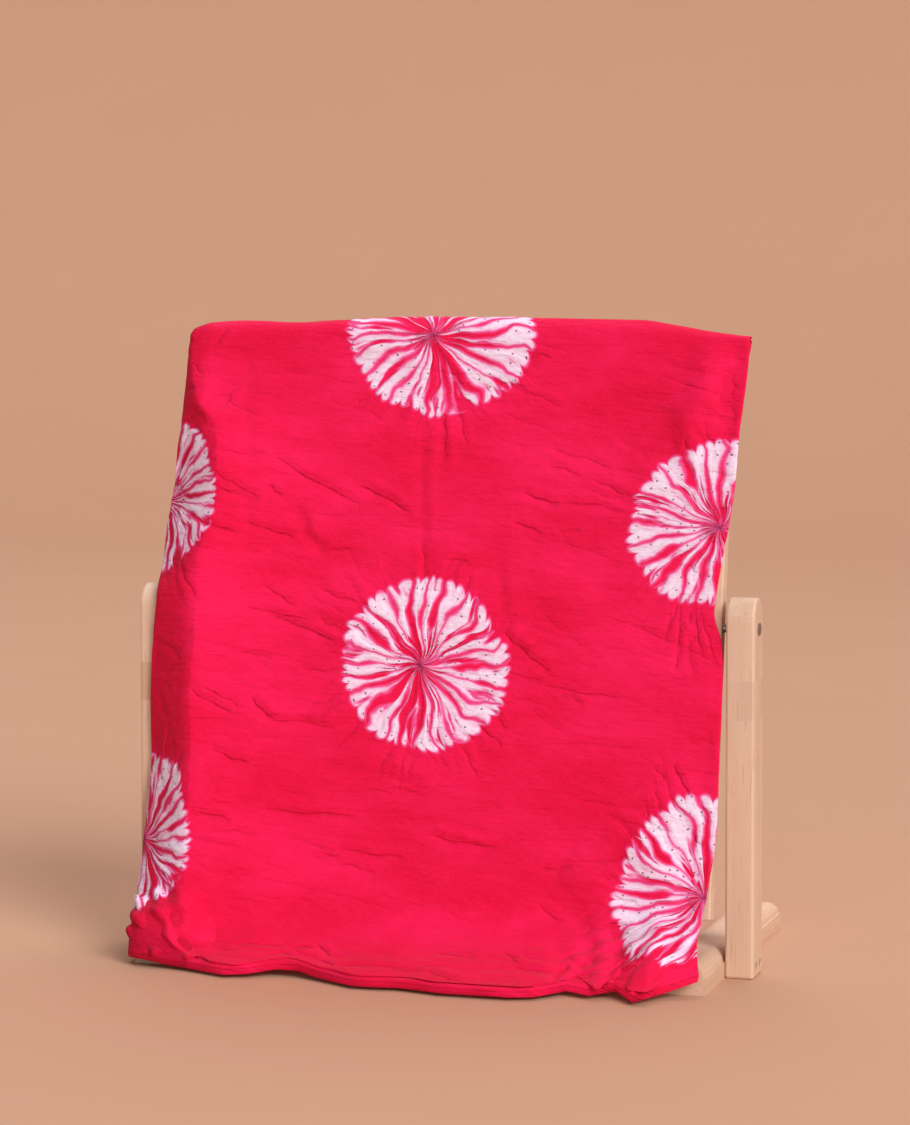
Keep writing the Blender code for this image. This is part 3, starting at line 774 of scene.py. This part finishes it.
def read_column(table, column, at, key):
    """Reads one column of a table at any places, on a smooth curve through its rows."""
    places = np.array([getattr(row, key) for row in table], float)
    values = np.array([getattr(row, column) for row in table], float)
    steps = np.diff(values) / np.diff(places)
    before, after = steps[:-1], steps[1:]
    same_way = before * after > 0
    slopes = np.zeros_like(values)
    slopes[1:-1][same_way] = (2 * before * after)[same_way] / (before + after)[same_way]
    at = np.clip(at, places[0], places[-1])
    last = np.clip(np.searchsorted(places, at, side="right") - 1, 0, len(places) - 2)
    span = places[last + 1] - places[last]
    part = (at - places[last]) / span
    gain = values[last + 1] - values[last]
    rise_in = slopes[last] * span
    rise_out = slopes[last + 1] * span
    return (values[last] + rise_in * part + (3 * gain - 2 * rise_in - rise_out) * part ** 2
            + (rise_in + rise_out - 2 * gain) * part ** 3)


def bell(off, wide):
    return np.exp(-(off / wide) ** 2)


def line_distance(x, up, line):
    """How far along a straight crease each place is, from 0 to 1, and its signed offset."""
    run_x, run_up = line.x1 - line.x0, line.up1 - line.up0
    long = math.hypot(run_x, run_up)
    along = ((x - line.x0) * run_x + (up - line.up0) * run_up) / long ** 2
    across = ((x - line.x0) * -run_up + (up - line.up0) * run_x) / long
    return along, across


def crease_height(x, up):
    """Sum of the broad creases, as in the solid."""
    total = np.zeros_like(x)
    for crease in CREASES:
        along, across = line_distance(x, up, crease)
        ends = np.clip(1 - (2 * along - 1) ** 2, 0, None)
        total += crease.high * ends * bell(across, crease.wide)
    return total


def front_line(up, q):
    """Section of the outer layer: q is -1 at the left fold, 0 at the crease, 1 at the right fold."""
    at = {name: float(read_column(HEIGHTS, name, up, "up")) for name in Height._fields[1:]}
    fold = LAYER_PITCH / 2
    wing_x = at["crease_x"] + (at["crease_x"] - at["fold_x"] - fold) * q
    wing_out = at["crease_out"] + (at["crease_out"] - at["fold_out"]) * q
    wing_out = wing_out - WING_BOW * np.sin(np.pi * q)
    front_x = at["crease_x"] + (at["right_x"] - fold - at["crease_x"]) * q
    lift = at["crease_out"] - at["middle_out"]
    front_out = at["middle_out"] + lift * np.exp(-(front_x - at["crease_x"]) / CREASE_SPREAD)
    front_out = front_out + crease_height(front_x, np.full_like(front_x, up))
    x = np.where(q < 0, wing_x, front_x)
    out = np.where(q < 0, wing_out, front_out)
    rounding = bell(x - at["crease_x"], CREASE_ROUND)
    out = out - rounding * CREASE_BLUNT * (at["crease_out"] - at["fold_out"])
    angle = arc_angle(up)
    if 0 < angle < ARC_TURN:
        deep = BOARD_THICK / 2 + out
        rise = read_column(RIDGE, "rise", x, "x")
        oval = np.hypot(rise * math.cos(angle), deep * math.sin(angle))
        out = deep * rise / oval - BOARD_THICK / 2
    drop = max(0.0, up - BOARD_SIDE - ARC_LONG) / BACK_DROP
    out = out + BACK_WAVE * drop * np.sin(2 * np.pi * (x - BACK_WAVE_SHIFT) / BACK_WAVE_LONG)
    return np.stack([x, out], axis=1)


def arc_angle(up):
    """Angle round the board's upper edge, from 0 on its front face to ARC_TURN behind it."""
    return min(max(up - BOARD_SIDE, 0.0) / ARC_LONG, 1.0) * ARC_TURN


def section(up, lines):
    """The x and out of every line of one section."""
    q, layer, turn = lines
    before = front_line(up, np.clip(q - SLOPE_STEP, -1, 1))
    after = front_line(up, np.clip(q + SLOPE_STEP, -1, 1))
    along = after - before
    along /= np.linalg.norm(along, axis=1)[:, None]
    outward = np.stack([-along[:, 1], along[:, 0]], axis=1)
    side = np.where(q[:, None] > 0, along, -along)
    inward = np.where(turn > 0, 0.5, layer)[:, None] * LAYER_PITCH
    angle = np.pi * turn[:, None]
    bend = (outward * np.cos(angle) + side * np.sin(angle)) * LAYER_PITCH / 2
    return front_line(up, q) - outward * inward + np.where(turn[:, None] > 0, bend, 0.0)


def section_lines(up):
    """All lines of one section, from the left selvedge round the front to the right selvedge."""
    crease_x = float(read_column(HEIGHTS, "crease_x", up, "up"))
    right_x = float(read_column(HEIGHTS, "right_x", up, "up"))
    wide = right_x - LAYER_PITCH / 2 - crease_x
    seam = (SEAM_X - crease_x) / wide
    turns = np.arange(1, TURN_LINES) / TURN_LINES
    parts = [
        (np.array([seam, 0.0]), 1, 0),
        (-np.arange(1, INNER_WING_LINES + 1) / INNER_WING_LINES, 1, 0),
        (np.full(TURN_LINES - 1, -1.0), 0, turns[::-1]),
        (-1 + np.arange(WING_LINES) / WING_LINES, 0, 0),
        (np.arange(FRONT_LINES + 1) / FRONT_LINES, 0, 0),
        (np.full(TURN_LINES - 1, 1.0), 0, turns),
        (1 + (seam - 1) * np.arange(INNER_LINES + 1) / INNER_LINES, 1, 0),
    ]
    q = np.concatenate([part[0] for part in parts])
    layer = np.concatenate([np.full(len(part[0]), float(part[1])) for part in parts])
    turn = np.concatenate([np.broadcast_to(part[2], len(part[0])).astype(float) for part in parts])
    return q, layer, turn


BOARD_DOWN = np.array([0.0, -math.sin(TILT), -math.cos(TILT)])
BOARD_OUT = np.array([0.0, -math.cos(TILT), math.sin(TILT)])
BOARD_TOP = np.array([0.0, POST_DEEP / 2, PIVOT_HIGH]) - BOARD_DOWN * BOARD_SIDE / 2


def draped_row(up, lines, drop=0.0):
    """The points of one section where it lies on the board, over its top or down its back."""
    points = section(up, lines)
    if up <= BOARD_SIDE:
        foot = BOARD_TOP + BOARD_DOWN * (BOARD_SIDE - up) + BOARD_OUT * BOARD_THICK / 2
        outward = BOARD_OUT
    else:
        angle = arc_angle(up)
        outward = BOARD_OUT * math.cos(angle) - BOARD_DOWN * math.sin(angle)
        foot = BOARD_TOP + outward * BOARD_THICK / 2
    row = foot + points[:, 1:] * outward
    row[:, 0] += points[:, 0]
    row[:, 2] -= drop
    return row


def inward_share(lines):
    layer, turn = lines[1:]
    return np.where(turn > 0, turn, layer)


def skirt_rows():
    """The free front end, from its hem up to the board's lower edge."""
    lines = section_lines(0.0)
    start = draped_row(0.0, lines)
    read = {name: read_column(SKIRT, name, start[:, 0], "x") for name in Skirt._fields[1:]}
    outer = 1 - inward_share(lines)
    knee_y = -read["knee_reach"] - outer * LAYER_PITCH
    knee_z = read["knee_high"] + outer * LAYER_PITCH
    lip_y = -read["hem_reach"] + outer * FRONT_HEM_SHORT
    lip_z = read["hem_high"] + HEM_LIP + outer * LAYER_PITCH
    lip = HEM_LIP * (1 - outer * OUTER_LIP_LESS)
    rows = []
    for step in range(SKIRT_ROWS, 0, -1):
        part = step / SKIRT_ROWS
        run = min(part / LIP_FROM, 1.0)
        first, middle, last = (1 - run) ** 2, 2 * run * (1 - run), run ** 2
        turned = max(part - LIP_FROM, 0.0) / (1 - LIP_FROM)
        row = np.empty_like(start)
        row[:, 0] = start[:, 0] + (read["hem_x"] - start[:, 0]) * part
        row[:, 1] = start[:, 1] * first + knee_y * middle + lip_y * last
        row[:, 1] -= LIP_BULGE * math.sin(math.pi * turned)
        row[:, 2] = start[:, 2] * first + knee_z * middle + lip_z * last - lip * turned
        rows.append(row)
    return rows


def back_row(part):
    up = BOARD_SIDE + ARC_LONG + part * BACK_DROP
    lines = section_lines(up)
    drop = part * (BACK_DROP + BACK_HEM_STEP * (inward_share(lines) - 1))
    return draped_row(up, lines, drop)


def cloth_grid():
    """Rows of points from the front hem over the board to the back hem, in millimetres."""
    rows = skirt_rows()
    heights = [BOARD_SIDE * step / FACE_ROWS for step in range(FACE_ROWS + 1)]
    heights += [BOARD_SIDE + ARC_LONG * step / ARC_ROWS for step in range(1, ARC_ROWS + 1)]
    rows += [draped_row(up, section_lines(up)) for up in heights]
    rows += [back_row(step / BACK_ROWS) for step in range(1, BACK_ROWS + 1)]
    return np.array(rows)


def flat_places(grid, lines):
    """Where each point is in the flat cloth: along it from the middle line, and up it."""
    steps = np.linalg.norm(np.diff(grid, axis=1), axis=2)
    along = np.concatenate([np.zeros((len(grid), 1)), np.cumsum(steps, axis=1)], axis=1)
    front = np.flatnonzero((lines[1] == 0) & (lines[2] == 0) & (lines[0] >= 0))
    middle = front[np.argmin(np.abs(grid[SKIRT_ROWS, front, 0]))]
    for i, row in enumerate(grid):
        along[i] -= np.interp(0.0, row[front, 0], along[i, front])
    rises = np.linalg.norm(np.diff(grid[:, middle], axis=0), axis=1)
    up = np.concatenate([[0.0], np.cumsum(rises)])
    up = np.repeat((up - up[SKIRT_ROWS])[:, None], grid.shape[1], axis=1)
    falls = np.linalg.norm(np.diff(grid[:SKIRT_ROWS + 1], axis=0), axis=2)
    up[:SKIRT_ROWS] = -np.cumsum(falls[::-1], axis=0)[::-1]
    return along, up


def short_wrinkles():
    """Many short faint wrinkles: over the whole cloth, over the left side and round the hem."""
    chooser = random.Random(26)
    made = []
    for patch in WRINKLE_PATCHES:
        for _ in range(patch.count):
            x = chooser.uniform(patch.x0, patch.x1)
            height = chooser.uniform(patch.up0, patch.up1)
            long = chooser.uniform(12, patch.longest)
            lean = math.radians(chooser.gauss(patch.lean, patch.lean_spread))
            half_x, half_up = long / 2 * math.cos(lean), long / 2 * math.sin(lean)
            high = chooser.uniform(-patch.high, 0.5 * patch.high)
            wide = chooser.uniform(2.4, 4.2)
            made.append(Wrinkle(x - half_x, height - half_up, x + half_x, height + half_up, wide, high))
    return made


def round_wrinkles():
    """Fine wrinkles that run outward from the rim of each tied round."""
    chooser = random.Random(11)
    made = []
    for tied in TIED_ROUNDS:
        for _ in range(ROUND_WRINKLES):
            angle = chooser.uniform(0, 2 * math.pi)
            near = chooser.uniform(0.95, 1.05)
            far = chooser.uniform(1.2, 1.75)
            run_x, run_up = tied.half_wide * math.cos(angle), tied.half_high * math.sin(angle)
            made.append(Wrinkle(tied.along + near * run_x, tied.up + near * run_up,
                                tied.along + far * run_x, tied.up + far * run_up,
                                2.6, chooser.uniform(-1.1, -0.3)))
    return made


def wrinkle_fields(along, up):
    """The wrinkles' height, and how far off and how deep the strongest one is at each place."""
    relief = np.zeros_like(along)
    off_line = np.full_like(along, WRINKLE_REACH)
    depth = np.zeros_like(along)
    strongest = np.zeros_like(along)
    for wrinkle in WRINKLES + short_wrinkles() + round_wrinkles():
        left, right = sorted((wrinkle.x0, wrinkle.x1))
        low, high = sorted((wrinkle.up0, wrinkle.up1))
        reach = 2 * WRINKLE_REACH
        near = (along > left - reach) & (along < right + reach) & (up > low - reach) & (up < high + reach)
        if not near.any():
            continue
        where, across = line_distance(along[near], up[near], wrinkle)
        part = np.clip(where, 0, 1)
        across = across + 1.3 * np.sin(part * 5.0 + wrinkle.x0) + 0.6 * np.sin(part * 14.0 + wrinkle.up0)
        ends = np.clip(1 - (2 * where - 1) ** 4, 0, None)
        trough = bell(across, wrinkle.wide)
        beside = bell(across - 1.7 * wrinkle.wide, 1.2 * wrinkle.wide)
        relief[near] += wrinkle.high * ends * (trough - 0.5 * beside)
        strength = abs(wrinkle.high) * ends * np.clip(1 - np.abs(across) / WRINKLE_REACH, 0, 1)
        stronger = strength > strongest[near]
        off_line[near] = np.where(stronger, across, off_line[near])
        fade = np.clip((WRINKLE_FADE_TO - np.abs(across)) / WRINKLE_FADE, 0, 1)
        crisp = min(max(WRINKLE_SOFT - wrinkle.wide, 0.0), 1.0)
        depth[near] = np.where(stronger, -wrinkle.high * ends * fade * crisp, depth[near])
        strongest[near] = np.where(stronger, strength, strongest[near])
    return relief, off_line, depth


def soft_waves(along, up):
    """Slow unevenness of the whole sheet."""
    chooser = random.Random(7)
    total = np.zeros_like(along)
    for _ in range(WAVES):
        across = chooser.uniform(-0.025, 0.025)
        rise = chooser.uniform(0.02, 0.085)
        total += WAVE_HIGH * np.sin(across * along + rise * up + chooser.uniform(0, 6.3))
    return total


def gather_height(along, up):
    """Puckers that run out from each tied round, and its crumpled middle."""
    total = np.zeros_like(along)
    for number, tied in enumerate(TIED_ROUNDS):
        chooser = random.Random(100 + number)
        x = (along - tied.along) / tied.half_wide
        y = (up - tied.up) / tied.half_high
        far = np.hypot(x, y)
        near = far < 2.2
        angle = np.arctan2(y[near], x[near])
        far = far[near]
        ripple = np.zeros_like(far)
        for folds in (5, 9, 13, 17, 22):
            bend = chooser.uniform(-0.8, 0.8)
            high = chooser.uniform(0.5, 1.0)
            ripple += high * np.cos(folds * angle + bend * far + chooser.uniform(0, 6.3))
        rim = bell(far - 1.05, 0.38) * np.clip(far, 0, 1)
        inside = np.clip(far / 0.25, 0, 1) * bell(far, 0.55)
        knot = bell(far, 0.10) * (1.1 + 1.5 * np.cos(3 * angle + 14 * far))
        dimple = -1.4 * bell(far - 0.22, 0.10)
        total[near] += 0.26 * ripple * rim + 0.42 * ripple * inside + knot + dimple
    return total


def corner_crumple(along, up):
    """The free end's corners are pushed into short folds where they lie over the feet."""
    across = sum(spot.share * bell(along - spot.along, spot.wide) for spot in CRUMPLES)
    below = np.clip((CRUMPLE_FROM - up) / CRUMPLE_RAMP, 0, 1)
    folds = np.sin(0.22 * along + 0.10 * up) + 0.7 * np.sin(0.15 * along - 0.20 * up + 1.0)
    folds += 0.5 * np.sin(0.31 * up + 0.12 * along + 2.0)
    return CRUMPLE_HIGH * across * below * folds


def hem_lift(along, up):
    """How far the hem is raised off the floor by its short folds at the left corner."""
    near_hem = np.clip((up[SKIRT_ROWS - SKIRT_ROWS // 3] - up) / LIFT_RAMP, 0, 1)
    lift = sum(spot.high * bell(along - spot.along, spot.wide) for spot in HEM_LIFTS)
    return lift * near_hem


def ease_bend(grid):
    """Rounds the bend at the board's lower edge, where the cloth leaves it for the floor."""
    weights = np.hanning(2 * BEND_ROWS + 3)[1:-1]
    weights /= weights.sum()
    eased = grid.copy()
    for row in range(SKIRT_ROWS - BEND_ROWS, SKIRT_ROWS + BEND_ROWS + 1):
        eased[row] = np.tensordot(weights, grid[row - BEND_ROWS:row + BEND_ROWS + 1], axes=1)
    return eased


def grid_normals(grid):
    across = np.gradient(grid, axis=1)
    upward = np.gradient(grid, axis=0)
    normals = np.cross(across, upward)
    return normals / np.linalg.norm(normals, axis=2)[:, :, None]


def wrinkled_grid():
    """The draped grid with its relief, each point's place in the flat cloth, and the wrinkle lines."""
    lines = section_lines(0.0)
    grid = ease_bend(cloth_grid())
    along, up = flat_places(grid, lines)
    grid[:, :, 2] += hem_lift(along, up)
    relief, off_line, depth = wrinkle_fields(along, up)
    relief += soft_waves(along, up) + gather_height(along, up)
    q, layer, turn = lines
    outer = (layer == 0) & (turn == 0)
    share = np.where(outer, np.clip((1 - np.abs(q)) / FOLD_EASE, INNER_RELIEF, 1), INNER_RELIEF)
    relief = np.clip(relief * share, RELIEF_LOW, RELIEF_HIGH)
    relief += corner_crumple(along, up) * np.where(layer == 0, 1.0, INNER_CRUMPLE)
    grid = grid + grid_normals(grid) * relief[:, :, None]
    return grid, along, up, off_line, depth


def cloth_mesh():
    """The sheet, with the values that its material reads at each point."""
    grid, along, up, off_line, depth = wrinkled_grid()
    rows, columns = along.shape
    points = grid.reshape(-1, 3) * MM + np.array(STAND)
    numbers = np.arange(rows * columns).reshape(rows, columns)
    quads = np.stack([numbers[:-1, :-1], numbers[:-1, 1:], numbers[1:, 1:], numbers[1:, :-1]], axis=-1)
    mesh = bpy.data.meshes.new("bandhani_cloth")
    mesh.from_pydata(points.tolist(), [], quads.reshape(-1, 4).tolist())
    mesh.polygons.foreach_set("use_smooth", [True] * len(mesh.polygons))
    places = np.stack([along, up, np.zeros_like(along)], axis=-1) * MM
    flat = mesh.attributes.new("flat_place", "FLOAT_VECTOR", "POINT")
    flat.data.foreach_set("vector", places.ravel())
    inset = np.minimum(up - up[0], up[-1] - up)
    for name, values in (("wrinkle_off", off_line), ("wrinkle_depth", depth), ("hem_inset", inset)):
        field = mesh.attributes.new(name, "FLOAT", "POINT")
        field.data.foreach_set("value", values.ravel())
    return mesh


def build_cloth():
    """The cloth as one thin sheet on its solid's folds."""
    mesh = cloth_mesh()
    mesh.materials.append(cloth_material())
    cloth = bpy.data.objects.new("bandhani_cloth", mesh)
    bpy.context.scene.collection.objects.link(cloth)
    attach(cloth, "root")
    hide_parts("cloth")


# The stand

def dress_stand():
    """Gives the stand's CAD pieces their wood and steel."""
    upright = wood_material("beech upright", (1.0, 1.0, 0.05), JOINTED_LENGTH)
    level = wood_material("beech foot", (1.0, 0.05, 1.0))
    board = wood_material("beech board", (0.05, 1.0, 1.0))
    steel = steel_material()
    for name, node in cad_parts.items():
        if name.startswith("post"):
            finish = upright
        elif name.startswith("foot"):
            finish = level
        elif name == "board":
            finish = board
        elif name == "cloth":
            continue
        else:
            finish = steel
        for slot in node.material_slots:
            slot.material = finish


# Floor, light and camera

def build_backdrop():
    """A floor that sweeps up into a wall far behind, as a paper roll does."""
    bend = BACKDROP_BACK - BACKDROP_RADIUS
    profile = [(BACKDROP_FRONT, 0.0), (bend, 0.0)]
    for step in range(1, SWEEP_STEPS + 1):
        angle = math.pi / 2 * step / SWEEP_STEPS
        profile.append((bend + BACKDROP_RADIUS * math.sin(angle), BACKDROP_RADIUS * (1 - math.cos(angle))))
    profile.append((BACKDROP_BACK, BACKDROP_HIGH))
    points = [(x, y, z) for y, z in profile for x in (-BACKDROP_WIDE / 2, BACKDROP_WIDE / 2)]
    faces = [(2 * i, 2 * i + 1, 2 * i + 3, 2 * i + 2) for i in range(len(profile) - 1)]
    mesh = bpy.data.meshes.new("studio_floor")
    mesh.from_pydata(points, [], faces)
    mesh.polygons.foreach_set("use_smooth", [True] * len(mesh.polygons))
    graph = Graph("studio paper")
    mottle = graph.noise(object_place(graph), 3.0, 3.0, 0.5)
    deeper = tuple(channel * STUDIO_DEEPER for channel in STUDIO_TAN[:3]) + (1.0,)
    colour = graph.mix(mottle, deeper, STUDIO_TAN)
    tooth = graph.noise(object_place(graph), 900.0, 2.0, 0.5)
    mesh.materials.append(graph.finish(colour, 0.9, graph.bump(tooth, 0.0002, 0.2)))
    floor = bpy.data.objects.new("studio_floor", mesh)
    bpy.context.scene.collection.objects.link(floor)


def add_sun(name, comes_from, strength, softness):
    """A sun whose light comes from the given direction, its softness in degrees."""
    light = bpy.data.lights.new(name, "SUN")
    light.energy = strength
    light.angle = math.radians(softness)
    lamp = bpy.data.objects.new(name, light)
    lamp.rotation_euler = Vector(comes_from).to_track_quat("Z", "Y").to_euler()
    bpy.context.scene.collection.objects.link(lamp)


def light_scene():
    """Even studio light: a key from the front right, a weak fill, and a soft light from above."""
    world = bpy.data.worlds.new("studio_air")
    world.use_nodes = True
    air = world.node_tree.nodes["Background"]
    air.inputs["Color"].default_value = AIR
    air.inputs["Strength"].default_value = AIR_STRENGTH
    bpy.context.scene.world = world
    bpy.context.scene.view_settings.view_transform = "Standard"
    add_sun("key_right", (0.657, -0.551, 0.515), 2.50, 32.0)
    add_sun("fill_front", (0.15, -0.95, 0.28), 0.55, 40.0)
    add_sun("from_above", (0.0, 0.45, 0.89), 1.75, 60.0)


def add_camera():
    """The photograph's view, fitted to the posts, the feet and the board."""
    camera = bpy.data.cameras.new("camera")
    camera.sensor_fit = "AUTO"
    camera.sensor_width = 36.0
    camera.lens = VIEW_LENS
    camera.shift_y = VIEW_SHIFT
    camera.clip_end = 30.0
    viewer = bpy.data.objects.new("camera", camera)
    viewer.location = STAND + Vector(VIEW_FROM)
    viewer.rotation_euler = (math.radians(90 - VIEW_DOWN), 0.0, math.radians(VIEW_TURN))
    bpy.context.scene.collection.objects.link(viewer)
    bpy.context.scene.camera = viewer


add_camera()
build_backdrop()
light_scene()
dress_stand()
build_cloth()
